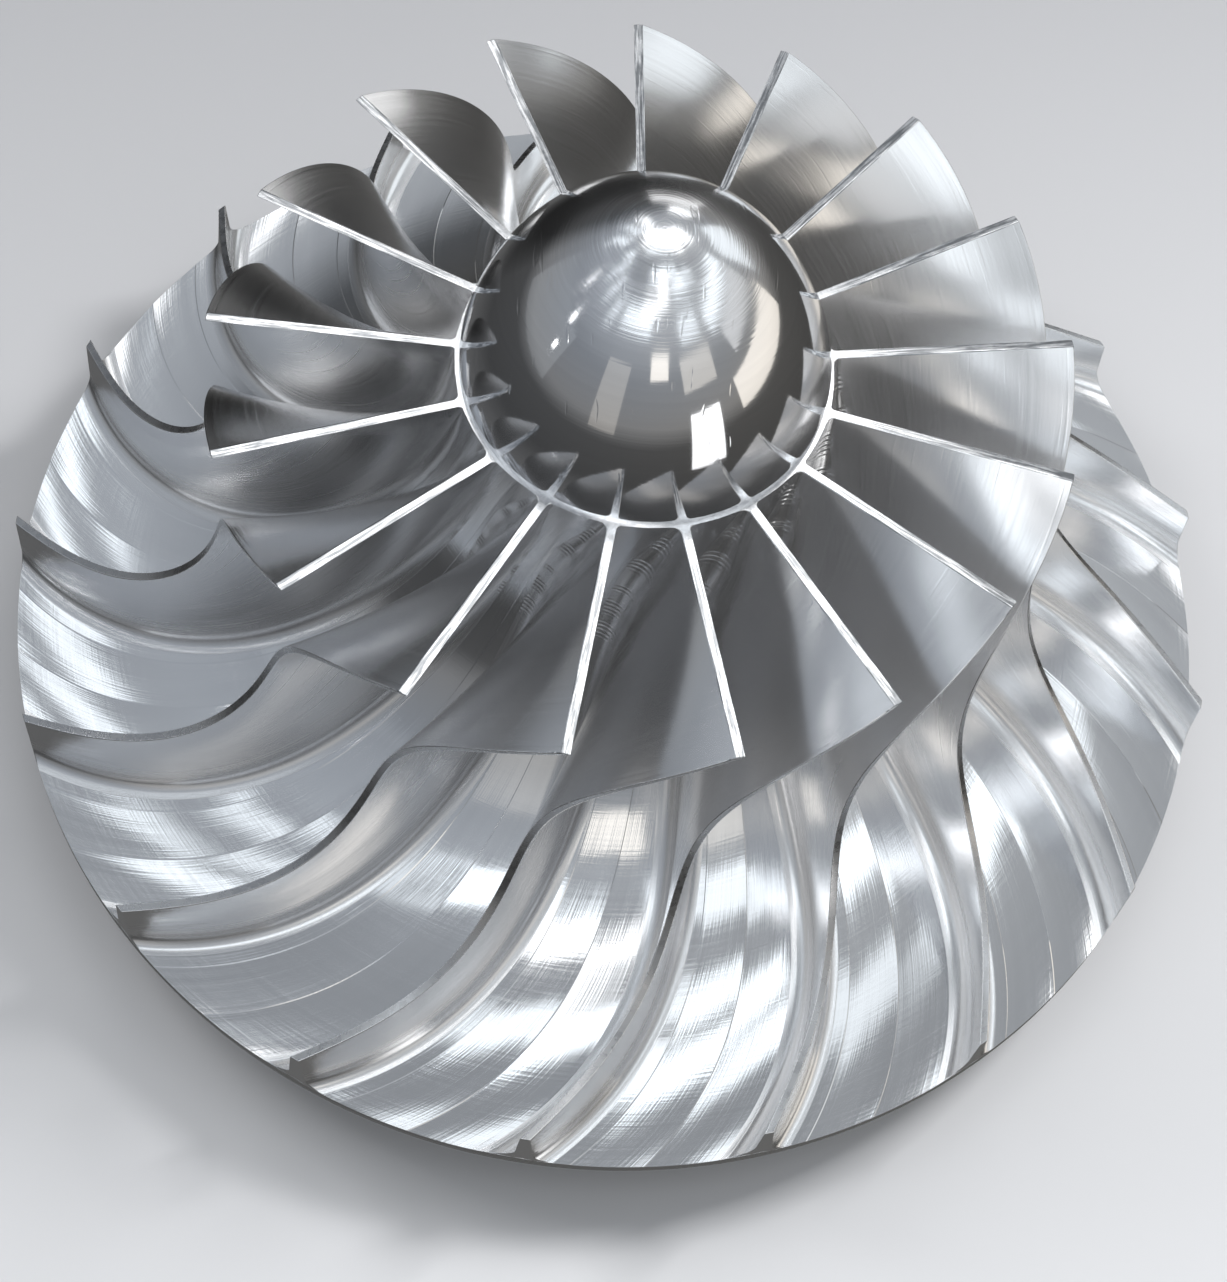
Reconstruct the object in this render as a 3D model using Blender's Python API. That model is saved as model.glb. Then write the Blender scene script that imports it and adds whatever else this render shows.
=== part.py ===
"""Open centrifugal impeller: seventeen backswept blades on a flared hub, with a polished nose cone.

The wheel stands on its rear boss, nose up. +Z is its axis, and the origin is the middle of the boss's
rear face. The blades run clockwise outwards, seen from the nose. The leading edge of blade_01 points along +Y.
"""
import math

import bmesh
import bpy
from mathutils import Matrix, Vector

# Driving dimensions, in metres
OUTER_RADIUS = 0.240
EXIT_FLOOR = 0.038          # height of the flow surface at the rim
RIM_THICKNESS = 0.005
INLET_HEIGHT = 0.168        # leading edges above the flow surface at the rim
INLET_ROOT_RADIUS = 0.067
INLET_TIP_RADIUS = 0.155
EXIT_WIDTH = 0.0245         # blade height at the rim
NOSE_HEIGHT = 0.078
BOSS_RADIUS = 0.080
BOSS_HEIGHT = 0.018
SOCKET_RADIUS = 0.030       # spigot socket in the rear boss
DISC_SPLIT_RADIUS = 0.150   # where the hub ends and the back disc begins
DISC_SPLIT_UNDERSIDE = 0.027
GAP = 0.0003                # clearance between neighbouring solids
ROOT_GAP = 0.0004           # the same under a blade, with room for the hub's facets

# Blades
BLADE_COUNT = 17
FIRST_BLADE_ANGLE = math.radians(90)
WRAP_ANGLE = math.radians(-40.4)
TIP_THICKNESS = 0.0030
ROOT_THICKNESS = 0.0050
EDGE_ROOT_THICKNESS = 0.0032    # the root is thinner at the leading edge
BLADE_STATIONS = 22
BLADE_SPANS = 3

# Facets
TURNED_SEGMENTS = 68
HUB_STATIONS = 24
NOSE_STATIONS = 12
CLOSEST = 0.001             # no two points of a turned profile lie closer

# Handles of the two meridional curves, in metres from their ends
HUB_INLET_HANDLE = 0.1155
HUB_EXIT_HANDLE = 0.091
HUB_EXIT_RISE = 0.005
TIP_INLET_HANDLE = 0.059
TIP_EXIT_HANDLE = 0.0985
TIP_EXIT_RISE = 0.0267

# How the wrap angle runs along a blade: a straight run with two bulges
TIP_WRAP = (1.49, 1.35, -0.89)
ROOT_WRAP = (0.20, 0.97, -0.19)

# Nose profile exponents: a blunt bullet
NOSE_FULLNESS = 1.7
NOSE_SHOULDER = 0.60


def clear_scene():
    for scene_object in list(bpy.data.objects):
        bpy.data.objects.remove(scene_object, do_unlink=True)


def make_material(name, colour, roughness):
    material = bpy.data.materials.new(name)
    material.use_nodes = True
    shader = material.node_tree.nodes["Principled BSDF"]
    shader.inputs["Base Color"].default_value = (*colour, 1.0)
    shader.inputs["Metallic"].default_value = 1.0
    shader.inputs["Roughness"].default_value = roughness
    return material


def add_object(name, mesh_builder, material):
    """Turns a bmesh into an object with outward faces."""
    bmesh.ops.recalc_face_normals(mesh_builder, faces=mesh_builder.faces)
    mesh = bpy.data.meshes.new(name)
    mesh_builder.to_mesh(mesh)
    mesh_builder.free()
    mesh.shade_smooth()
    mesh.set_sharp_from_angle(angle=math.radians(30))
    mesh.materials.append(material)
    piece = bpy.data.objects.new(name, mesh)
    bpy.context.scene.collection.objects.link(piece)
    return piece


def bezier(start, start_handle, end_handle, end, t):
    """Point on a cubic curve."""
    u = 1.0 - t
    return (start * u ** 3 + start_handle * 3 * u * u * t
            + end_handle * 3 * u * t * t + end * t ** 3)


def hub_point(t):
    """Radius and height of the flow surface, from the inlet (0) to the rim (1)."""
    inlet = Vector((INLET_ROOT_RADIUS, EXIT_FLOOR + INLET_HEIGHT))
    rim = Vector((OUTER_RADIUS, EXIT_FLOOR))
    return bezier(inlet, inlet - Vector((0, HUB_INLET_HANDLE)),
                  rim + Vector((-HUB_EXIT_HANDLE, HUB_EXIT_RISE)), rim, t)


def tip_point(t):
    """Radius and height of the blades' free edge, from the inlet (0) to the rim (1)."""
    inlet = Vector((INLET_TIP_RADIUS, EXIT_FLOOR + INLET_HEIGHT))
    rim = Vector((OUTER_RADIUS, EXIT_FLOOR + EXIT_WIDTH))
    return bezier(inlet, inlet - Vector((0, TIP_INLET_HANDLE)),
                  rim + Vector((-TIP_EXIT_HANDLE, TIP_EXIT_RISE)), rim, t)


def even_steps(curve, count, samples=240):
    """Parameters that cut a curve into equal lengths."""
    points = [curve(i / samples) for i in range(samples + 1)]
    lengths = [0.0]
    for before, after in zip(points, points[1:]):
        lengths.append(lengths[-1] + (after - before).length)
    steps = []
    here = 0
    for i in range(count + 1):
        wanted = lengths[-1] * i / count
        while here < samples - 1 and lengths[here + 1] < wanted:
            here += 1
        part = (wanted - lengths[here]) / (lengths[here + 1] - lengths[here])
        steps.append((here + part) / samples)
    return steps, lengths[-1]


def wrap(share, bulges):
    """Wrap angle after a share of the blade's length."""
    side, tilt, middle = bulges
    hump = share * (1 - share)
    return WRAP_ANGLE * (share + side * hump + tilt * hump * (1 - 2 * share)
                         + middle * (2 * hump) ** 2)


def wrap_slope(share, bulges):
    step = 1e-4
    return (wrap(share + step, bulges) - wrap(share - step, bulges)) / (2 * step)


def edge_line(curve, bulges, thickness, lift):
    """Both sides of a blade along one meridional curve: lists of (radius, angle, height)."""
    steps, length = even_steps(curve, BLADE_STATIONS)
    sides = ([], [])
    for i, t in enumerate(steps):
        share = i / BLADE_STATIONS
        point = curve(t)
        along = (curve(t + 1e-4) - curve(t - 1e-4)).normalized()
        across = Vector((-along.y, along.x))
        slant = math.atan(point.x * wrap_slope(share, bulges) / length)
        half = thickness(share) / 2
        for sign, side in zip((1, -1), sides):
            if i < BLADE_STATIONS:
                place = point - along * (sign * half * math.sin(slant)) + across * lift
                turn = sign * half * math.cos(slant) / point.x
            else:
                place = Vector((OUTER_RADIUS, point.y + lift))
                turn = sign * half / math.cos(slant) / point.x
            side.append((place.x, wrap(share, bulges) + turn, place.y))
    return sides


def root_thickness(share):
    grown = min(1.0, share / 0.15)
    return EDGE_ROOT_THICKNESS + (ROOT_THICKNESS - EDGE_ROOT_THICKNESS) * grown


def tip_thickness(share):
    return TIP_THICKNESS


def on_wheel(radius, angle, height):
    return Vector((radius * math.cos(angle), radius * math.sin(angle), height))


def make_blade(name, start_angle, material):
    """A blade as a closed grid: straight lines from the root line to the tip line on each side."""
    roots = edge_line(hub_point, ROOT_WRAP, root_thickness, ROOT_GAP)
    tips = edge_line(tip_point, TIP_WRAP, tip_thickness, 0.0)
    shape = bmesh.new()
    rings = []
    for i in range(BLADE_STATIONS + 1):
        ring = []
        for side, order in ((0, range(BLADE_SPANS + 1)), (1, range(BLADE_SPANS, -1, -1))):
            root = on_wheel(*roots[side][i])
            tip = on_wheel(*tips[side][i])
            for j in order:
                place = root.lerp(tip, j / BLADE_SPANS)
                if i == BLADE_STATIONS:
                    place.xy = place.xy.normalized() * OUTER_RADIUS
                ring.append(shape.verts.new(place))
        rings.append(ring)
    around = len(rings[0])
    for before, after in zip(rings, rings[1:]):
        for k in range(around):
            shape.faces.new((before[k], before[(k + 1) % around], after[(k + 1) % around], after[k]))
    for ring in (rings[0], rings[-1]):
        for k in range(BLADE_SPANS):
            shape.faces.new((ring[k], ring[k + 1], ring[around - 2 - k], ring[around - 1 - k]))
    bmesh.ops.rotate(shape, verts=shape.verts, cent=(0, 0, 0),
                     matrix=Matrix.Rotation(start_angle, 3, "Z"))
    return add_object(name, shape, material)


def make_turned(name, profile, material, closed_ring=False):
    """Spins a profile of (radius, height) points about Z. A ring's profile closes on itself."""
    shape = bmesh.new()
    verts = [shape.verts.new((radius, 0, height)) for radius, height in profile]
    pairs = list(zip(verts, verts[1:]))
    if closed_ring:
        pairs.append((verts[-1], verts[0]))
    edges = [shape.edges.new(pair) for pair in pairs]
    bmesh.ops.spin(shape, geom=verts + edges, cent=(0, 0, 0), axis=(0, 0, 1),
                   angle=math.tau, steps=TURNED_SEGMENTS, use_merge=True)
    bmesh.ops.remove_doubles(shape, verts=shape.verts, dist=1e-6)
    return add_object(name, shape, material)


def hub_height(radius):
    """Height of the flow surface at a radius, found by halving."""
    low, high = 0.0, 1.0
    for _ in range(40):
        middle = (low + high) / 2
        if hub_point(middle).x < radius:
            low = middle
        else:
            high = middle
    return hub_point(high).y


def flow_profile(low_radius, high_radius):
    """Points of the flow surface between two radii, the ends included."""
    steps, _ = even_steps(hub_point, HUB_STATIONS)
    points = [hub_point(t) for t in steps]
    inside = [(p.x, p.y) for p in points if low_radius + CLOSEST < p.x < high_radius - CLOSEST]
    first, last = ((radius, hub_height(radius)) for radius in (low_radius, high_radius))
    return [first] + inside + [last]


def make_hub(material):
    """The flared core: flow surface outside, flat face on top for the nose, flat face underneath."""
    flow = flow_profile(INLET_ROOT_RADIUS, DISC_SPLIT_RADIUS)
    profile = [(0.0, flow[0][1])] + flow
    profile += [(DISC_SPLIT_RADIUS, DISC_SPLIT_UNDERSIDE), (BOSS_RADIUS, BOSS_HEIGHT), (0.0, BOSS_HEIGHT)]
    return make_turned("hub", profile, material)


def make_back_disc(material):
    """The outer ring of the disc: it thins from the hub to the rim."""
    inner = DISC_SPLIT_RADIUS + GAP
    profile = flow_profile(inner, OUTER_RADIUS)
    profile += [(OUTER_RADIUS, EXIT_FLOOR - RIM_THICKNESS), (inner, DISC_SPLIT_UNDERSIDE)]
    return make_turned("back_disc", profile, material, closed_ring=True)


def make_rear_boss(material):
    """The ring that the wheel stands on, around its spigot socket."""
    top = BOSS_HEIGHT - GAP
    profile = [(SOCKET_RADIUS, top), (BOSS_RADIUS, top), (BOSS_RADIUS, 0.0), (SOCKET_RADIUS, 0.0)]
    return make_turned("rear_boss", profile, material, closed_ring=True)


def make_nose_cone(material):
    """A blunt bullet seated on the hub's top face."""
    seat = EXIT_FLOOR + INLET_HEIGHT + GAP
    profile = [(0.0, seat)]
    for i in range(NOSE_STATIONS + 1):
        turn = math.pi / 2 * i / NOSE_STATIONS
        height = math.sin(turn)
        radius = INLET_ROOT_RADIUS * (1 - height ** NOSE_FULLNESS) ** NOSE_SHOULDER
        profile.append((radius, seat + NOSE_HEIGHT * height))
    profile[-1] = (0.0, seat + NOSE_HEIGHT)
    return make_turned("nose_cone", profile, material)


def main():
    clear_scene()
    milled = make_material("milled aluminium", (0.66, 0.67, 0.69), 0.28)
    floor = make_material("milled hub", (0.62, 0.63, 0.66), 0.30)
    turned = make_material("turned aluminium", (0.60, 0.61, 0.63), 0.35)
    polished = make_material("polished aluminium", (0.72, 0.73, 0.75), 0.08)
    make_hub(floor)
    make_back_disc(turned)
    make_rear_boss(turned)
    make_nose_cone(polished)
    for number in range(BLADE_COUNT):
        angle = FIRST_BLADE_ANGLE - math.tau * number / BLADE_COUNT
        make_blade(f"blade_{number + 1:02d}", angle, milled)


main()
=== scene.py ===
# %% [markdown]
# # An open centrifugal impeller, finished over its CAD frame
#
# The wheel in this lesson is milled from one block of aluminium: a flared hub that runs out into a
# thin disc, seventeen backswept blades and a polished nose. CAD gives plain solids with the right
# sizes and places. Here each one gets what makes the real one look machined: root fillets, broken
# edges, the low steps between cutter passes, and finishes that follow the cutter. The first three
# lines load the CAD model as a fixed frame.

# %% Load the frame
import math

import bmesh
import bpy
import numpy as np
from mathutils import Matrix, Vector
from mathutils.geometry import interpolate_bezier


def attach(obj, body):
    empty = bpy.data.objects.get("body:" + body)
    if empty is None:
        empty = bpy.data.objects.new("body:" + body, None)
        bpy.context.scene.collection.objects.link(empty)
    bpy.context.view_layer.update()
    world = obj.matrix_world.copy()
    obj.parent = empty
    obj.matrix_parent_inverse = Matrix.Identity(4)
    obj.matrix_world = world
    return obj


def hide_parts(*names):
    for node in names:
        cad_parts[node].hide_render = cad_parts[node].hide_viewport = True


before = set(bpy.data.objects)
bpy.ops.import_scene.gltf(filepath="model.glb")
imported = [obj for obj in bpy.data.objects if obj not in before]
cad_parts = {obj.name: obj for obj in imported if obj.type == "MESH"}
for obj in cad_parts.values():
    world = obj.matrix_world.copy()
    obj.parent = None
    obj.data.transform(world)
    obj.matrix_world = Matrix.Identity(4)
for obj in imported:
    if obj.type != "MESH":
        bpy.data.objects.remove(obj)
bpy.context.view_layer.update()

# %% [markdown]
# ## The camera
#
# The wheel is seen from the front and from well above, so that the nose and the inlet face the lens
# and the near passages run down to the rim. A camera is a place, three turns and a lens. The lens
# is given here by the distance from the pinhole to the picture in pixels, because that is what a
# fit to a picture measures, and Blender wants it in millimetres on a 36 mm sensor, whose width goes
# with the longer side of the picture.

# %% Camera
PICTURE_LONG_SIDE = 1282
PINHOLE_PIXELS = 2500.1
CAMERA_PLACE = (-0.0690, -0.4955, 0.9363)
CAMERA_TURNS = (27.774, -4.026, -0.742)      # degrees
SENSOR_WIDTH = 36
NEAREST_SEEN = 0.01

camera = bpy.data.objects.new("camera", bpy.data.cameras.new("camera"))
bpy.context.scene.collection.objects.link(camera)
camera.location = CAMERA_PLACE
camera.rotation_euler = [math.radians(turn) for turn in CAMERA_TURNS]
camera.data.sensor_width = SENSOR_WIDTH
camera.data.sensor_fit = "AUTO"
camera.data.lens = PINHOLE_PIXELS * SENSOR_WIDTH / PICTURE_LONG_SIDE
camera.data.clip_start = NEAREST_SEEN
bpy.context.scene.camera = camera
print("lens:", round(camera.data.lens, 1), "mm")

# %% [markdown]
# ## The flow surface and the free edge
#
# A radial wheel is drawn as two curves in the plane of radius and height. The hub curve is the
# floor of every passage, and the tip curve is where the blades were cut to the casing. Each is one
# Bezier curve. Walking them in steps of equal length keeps the mesh even, so the curves are first
# measured, and a share of the length from 0 at the inlet to 1 at the rim then names a place on
# both.

# %% Meridional curves
OUTER_RADIUS = 0.240
EXIT_FLOOR = 0.038
INLET_TOP = EXIT_FLOOR + 0.168
INLET_ROOT_RADIUS = 0.067
INLET_TIP_RADIUS = 0.155
EXIT_WIDTH = 0.0245
HUB_HANDLES = (0.1155, 0.091, 0.005)      # down from the inlet, then inwards and up from the rim
TIP_HANDLES = (0.059, 0.0985, 0.0267)
CURVE_SAMPLES = 1200


def measured_curve(inlet, rim, handles):
    """Points (radius, height) of a meridional curve, and the length walked up to each."""
    down, inwards, up = handles
    outline = (inlet, (inlet[0], inlet[1] - down), (rim[0] - inwards, rim[1] + up), rim)
    knots = [Vector((radius, 0, height)) for radius, height in outline]
    points = np.array([(p.x, p.z) for p in interpolate_bezier(*knots, CURVE_SAMPLES)])
    walked = np.concatenate(([0.0], np.cumsum(np.linalg.norm(np.diff(points, axis=0), axis=1))))
    return points, walked


def on_curve(curve, share):
    """Point of a curve after a share of its length. Beyond its ends it runs on straight."""
    points, walked = curve
    inside = min(1.0, max(0.0, share))
    place = [np.interp(inside * walked[-1], walked, points[:, k]) for k in (0, 1)]
    return Vector(place) + along_curve(curve, inside) * ((share - inside) * walked[-1])


def along_curve(curve, share):
    """Unit direction of a curve, from the inlet towards the rim."""
    points, walked = curve
    step = int(min(CURVE_SAMPLES - 3, max(1, np.searchsorted(walked, share * walked[-1]) - 1)))
    return Vector(points[step + 1] - points[step - 1]).normalized()


HUB_CURVE = measured_curve((INLET_ROOT_RADIUS, INLET_TOP), (OUTER_RADIUS, EXIT_FLOOR), HUB_HANDLES)
TIP_CURVE = measured_curve((INLET_TIP_RADIUS, INLET_TOP), (OUTER_RADIUS, EXIT_FLOOR + EXIT_WIDTH),
                           TIP_HANDLES)
HUB_LENGTH, TIP_LENGTH = HUB_CURVE[1][-1], TIP_CURVE[1][-1]
print("passage length on the hub and at the tip:", round(HUB_LENGTH, 4), round(TIP_LENGTH, 4))

# %% [markdown]
# ## How the blades wrap
#
# From the inlet to the rim a blade turns backwards round the axis. At the tip it turns fast at
# first, to scoop the air in, and at the root it turns more evenly. The turn is a straight run with
# three bulges on it, so three numbers for each curve are enough. The slope of the turn gives the
# angle between the blade and the meridian.

# %% Wrap angle
BLADE_COUNT = 17
PITCH = math.tau / BLADE_COUNT
FIRST_BLADE_ANGLE = math.radians(90)
WRAP_ANGLE = math.radians(-40.4)
TIP_WRAP = (1.49, 1.35, -0.89)      # how much of each bulge: even, tilted, and in the middle
ROOT_WRAP = (0.20, 0.97, -0.19)


def wrap(share, bulges):
    """Turn round the axis after a share of the blade's length."""
    even, tilted, middle = bulges
    hump = share * (1 - share)
    return WRAP_ANGLE * (share + even * hump + tilted * hump * (1 - 2 * share) + middle * (2 * hump) ** 2)


def slant(share, bulges, radius, length):
    """Angle between the blade and the meridian."""
    step = 1e-4
    slope = (wrap(share + step, bulges) - wrap(share - step, bulges)) / (2 * step)
    return math.atan(radius * slope / length)


def on_wheel(radius, angle, height):
    """The place of a radius, an angle round the axis and a height."""
    return Vector((radius * math.cos(angle), radius * math.sin(angle), height))


print("slant at the leading edge's tip:",
      round(math.degrees(slant(0, TIP_WRAP, INLET_TIP_RADIUS, TIP_LENGTH))), "degrees")

# %% [markdown]
# ## From a bmesh to a piece of the wheel
#
# Every piece ends the same way. The bmesh becomes a mesh with its finishes, it is shaded smooth
# except at edges that are sharper than a chosen angle or were marked before, and its object stays
# at the origin and rides on the only body, and the CAD nodes that it replaces are hidden.

# %% Finish a piece
SHARP_ANGLE = 25      # degrees


def finish_piece(name, shape, materials, nodes, sharp_angle=SHARP_ANGLE):
    """Makes the object of a bmesh and hides the CAD nodes that it replaces."""
    mesh = bpy.data.meshes.new(name)
    shape.to_mesh(mesh)
    shape.free()
    for material in materials:
        mesh.materials.append(material)
    kept = [edge.index for edge in mesh.edges if edge.use_edge_sharp]
    mesh.shade_smooth()
    mesh.set_sharp_from_angle(angle=math.radians(sharp_angle))
    for index in kept:
        mesh.edges[index].use_edge_sharp = True
    piece = bpy.data.objects.new(name, mesh)
    bpy.context.scene.collection.objects.link(piece)
    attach(piece, "root")
    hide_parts(*nodes)
    return piece


# %% [markdown]
# ## How the finishes are built
#
# Machined metal has hardly any colour of its own: it is told by how sharp its reflections are, and
# in which direction they smear. So each finish here is a metal whose roughness and bump come from
# long, thin noise that runs the way the tool ran. Short helpers make nodes and link them, so that a
# finish reads as a list of steps.

# %% Node helpers
def new_finish(name):
    """An empty metal: its node tree and its Principled shader."""
    material = bpy.data.materials.new(name)
    material.use_nodes = True
    shader = material.node_tree.nodes["Principled BSDF"]
    shader.inputs["Metallic"].default_value = 1.0
    return material, material.node_tree, shader


def set_inputs(tree, node, inputs):
    """Links each input whose value is a socket, and sets any other."""
    for name, value in inputs.items():
        if isinstance(value, bpy.types.NodeSocket):
            tree.links.new(value, node.inputs[name])
        else:
            node.inputs[name].default_value = value


def add_node(tree, kind, inputs=None, **settings):
    """Makes a node with its settings and its inputs."""
    made = tree.nodes.new(kind)
    for name, value in settings.items():
        setattr(made, name, value)
    set_inputs(tree, made, inputs or {})
    return made


def streaks(tree, source, cells, turn=0.0, detail=1):
    """Noise from 0 to 1, stretched by giving it a number of cells per metre on each axis."""
    stretch = {"Vector": source, "Rotation": (0, 0, turn), "Scale": cells}
    placed = add_node(tree, "ShaderNodeMapping", stretch).outputs[0]
    noise = {"Vector": placed, "Scale": 1.0, "Detail": detail}
    return add_node(tree, "ShaderNodeTexNoise", noise).outputs["Fac"]


def ranged(tree, value, low, high, to_low=0, to_high=1):
    """A value's range from low to high, spread over another range and held at its ends."""
    ends = {"From Min": low, "From Max": high, "To Min": to_low, "To Max": to_high}
    return add_node(tree, "ShaderNodeMapRange", {"Value": value, **ends}).outputs[0]


def maths(tree, operation, first, second=0.0):
    """A value worked out from one or two others."""
    return add_node(tree, "ShaderNodeMath", {0: first, 1: second}, operation=operation).outputs[0]


def plus(tree, first, second):
    return maths(tree, "ADD", first, second)


def times(tree, first, second):
    return maths(tree, "MULTIPLY", first, second)


def band(tree, value, fade_in, fade_out):
    """1 between two fades and 0 outside them."""
    return times(tree, ranged(tree, value, *fade_in), ranged(tree, value, *fade_out, 1, 0))


def tones(tree, value, dark, light):
    """A colour between two, by a value from 0 to 1."""
    mixed = {"Factor": value, "A": (*dark, 1), "B": (*light, 1)}
    return add_node(tree, "ShaderNodeMix", mixed, data_type="RGBA").outputs["Result"]


def bumped(tree, height, depth=1.0):
    """The normal of a bump whose height is in units of depth, in metres."""
    return add_node(tree, "ShaderNodeBump", {"Height": height, "Distance": depth}).outputs[0]


def surface_map(tree):
    """The piece's own map, in metres across the cutter's passes and along them."""
    return add_node(tree, "ShaderNodeUVMap", uv_map="milling").outputs[0]


def across_grooves(tree):
    """The direction across the cutter's passes, which the anisotropy follows."""
    return add_node(tree, "ShaderNodeTangent", direction_type="UV_MAP", uv_map="milling").outputs[0]


# %% [markdown]
# ## Milled floor
#
# The cutter's passes run beside the blades, and lighter feed marks cross them, so the floor shows a
# fine crosshatch of lines about a millimetre apart where a bright reflection ends. Both come from
# stretched noise on the floor's own map, and a broad noise lets the cross marks fade in and out.
# The anisotropy smears reflections across the passes, as fine grooves do.

# %% Milled floor finish
NOISE_SPREAD = (0.3, 0.7)      # nearly all of a noise lies between these
TWO_NOISES = (0.7, 1.3)        # and the sum of two between these
PASS_CELLS = (1000, 9, 1)      # per metre, across the blades and along them
FEED_CELLS = (14, 1000, 1)
PATCH_CELLS = (22, 30, 1)
PATCH_LIMITS = (0.42, 0.62)
FAINTEST_FEED = 0.15
WAVE_CELLS = (95, 4, 1)
BROAD_CELLS = (60, 7, 1)
LINE_DEPTH = 0.000020
WAVE_DEPTH = 0.000035
FLOOR_TONES = ((0.885, 0.89, 0.90), (0.945, 0.95, 0.96))
FLOOR_ROUGHNESS = (0.08, 0.16)
FLOOR_ANISOTROPY = 0.30

MILLED_FLOOR, tree, shader = new_finish("milled floor")
where = surface_map(tree)
passes = streaks(tree, where, PASS_CELLS)
feeds = streaks(tree, where, FEED_CELLS)
patches = ranged(tree, streaks(tree, where, PATCH_CELLS), *PATCH_LIMITS, FAINTEST_FEED, 1)
lines = plus(tree, passes, times(tree, feeds, patches))
waves = streaks(tree, where, WAVE_CELLS)
broad = streaks(tree, where, BROAD_CELLS)
set_inputs(tree, shader, {
    "Base Color": tones(tree, ranged(tree, broad, *NOISE_SPREAD), *FLOOR_TONES),
    "Roughness": ranged(tree, plus(tree, passes, feeds), *TWO_NOISES, *FLOOR_ROUGHNESS),
    "Normal": bumped(tree, plus(tree, times(tree, lines, LINE_DEPTH), times(tree, waves, WAVE_DEPTH))),
    "Anisotropic": FLOOR_ANISOTROPY,
    "Tangent": across_grooves(tree),
})
print("milled floor nodes:", len(tree.nodes))

# %% [markdown]
# ## Milled blades
#
# The blades' faces were cut by the side of the tool and then rubbed down, so they are smoother and
# softer than the floor: long faint lines along the blade, and sparse fine scratches in two
# directions that only show in a bright reflection. Where the fillet meets the face, the cutter
# chattered a little and left rows of tiny dents.

# %% Milled blade finish
BLADE_PASS_CELLS = (900, 6, 1)      # per metre, up the blade and along it
BLADE_WAVE_CELLS = (22, 9, 1)
BLADE_BROAD_CELLS = (18, 7, 1)
BLADE_LINE_DEPTH = 0.000012
BLADE_WAVE_DEPTH = 0.0008
SCRATCH_CELLS = (1000, 20, 1)
SCRATCH_LIMITS = (0.66, 0.74)
SCRATCH_TURNS = (0.55, -0.85)
SCRATCH_DEPTH = 1.2                 # in units of a line's depth
CHATTER_PITCH = 0.0019
CHATTER_DEPTH = 0.00006
CHATTER_ROW = ((0.0058, 0.0066), (0.0104, 0.0112))      # fades in and out up the blade
CHATTER_REACH = ((0.003, 0.008), (0.050, 0.075))        # and along it
CHATTER_CELLS = (40, 130, 1)
CHATTER_LIMITS = (0.46, 0.58)
BLADE_TONES = ((0.88, 0.88, 0.885), (0.94, 0.94, 0.945))
BLADE_ROUGHNESS = (0.20, 0.29)
BLADE_ANISOTROPY = 0.35

MILLED_BLADE, tree, shader = new_finish("milled blade")
where = surface_map(tree)
passes = streaks(tree, where, BLADE_PASS_CELLS)
scratches = [ranged(tree, streaks(tree, where, SCRATCH_CELLS, turn=turn, detail=0), *SCRATCH_LIMITS)
             for turn in SCRATCH_TURNS]
lines = maths(tree, "SUBTRACT", passes, times(tree, plus(tree, *scratches), SCRATCH_DEPTH))
waves = streaks(tree, where, BLADE_WAVE_CELLS)
relief = plus(tree, times(tree, lines, BLADE_LINE_DEPTH), times(tree, waves, BLADE_WAVE_DEPTH))
broad = streaks(tree, where, BLADE_BROAD_CELLS)

apart = add_node(tree, "ShaderNodeSeparateXYZ", {"Vector": where})
up_the_blade, along = apart.outputs["X"], apart.outputs["Y"]
row = times(tree, band(tree, up_the_blade, *CHATTER_ROW), band(tree, along, *CHATTER_REACH))
broken = ranged(tree, streaks(tree, where, CHATTER_CELLS, detail=0), *CHATTER_LIMITS)
dents = maths(tree, "SINE", times(tree, along, math.tau / CHATTER_PITCH))
chatter = times(tree, row, times(tree, dents, broken))
set_inputs(tree, shader, {
    "Base Color": tones(tree, ranged(tree, broad, *NOISE_SPREAD), *BLADE_TONES),
    "Roughness": ranged(tree, plus(tree, passes, broad), *TWO_NOISES, *BLADE_ROUGHNESS),
    "Normal": bumped(tree, plus(tree, relief, times(tree, chatter, CHATTER_DEPTH))),
    "Anisotropic": BLADE_ANISOTROPY,
    "Tangent": across_grooves(tree),
})
print("milled blade nodes:", len(tree.nodes))

# %% [markdown]
# ## Cut edges
#
# The leading and trailing edges and the free edges are narrow strips, cut last. On the leading
# edges the tool left bright metal with short dark dashes that run outwards along the strip. A map
# could be laid on each strip, but two numbers do it: the distance from the wheel's origin grows
# along the strip, and the turn round the axis grows across it, so noise that is stretched on those
# two gives the dashes. They fade out towards the hub and below the inlet. The free edges were
# turned with the wheel on a lathe, and their duller surface is a second finish. Their grey tone is
# painted shade: it stands in for the dark surroundings that these strips mirror.

# %% Cut edge finish
CUT_GRAIN = (520, 520, 520)
CUT_GRAIN_DEPTH = 0.000010
CUT_ROUGHNESS = (0.16, 0.26)
BRIGHT_CUT = (0.90, 0.90, 0.905)
WORN_CUT = (0.34, 0.35, 0.36)
DASH_CELLS = (130, 1000, 1)             # per metre, along a dash and across it
DASH_LIMITS = (0.42, 0.60)
DASH_RADIUS = 0.12                      # turns times this radius are metres across the strip
DASHES_FROM = (0.2185, 0.2225)          # distance from the origin over which they fade in
INLET_FADE = (0.2040, 0.2048)           # and height


def object_place(tree):
    """The place on the wheel, in metres."""
    return add_node(tree, "ShaderNodeTexCoord").outputs["Object"]


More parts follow.
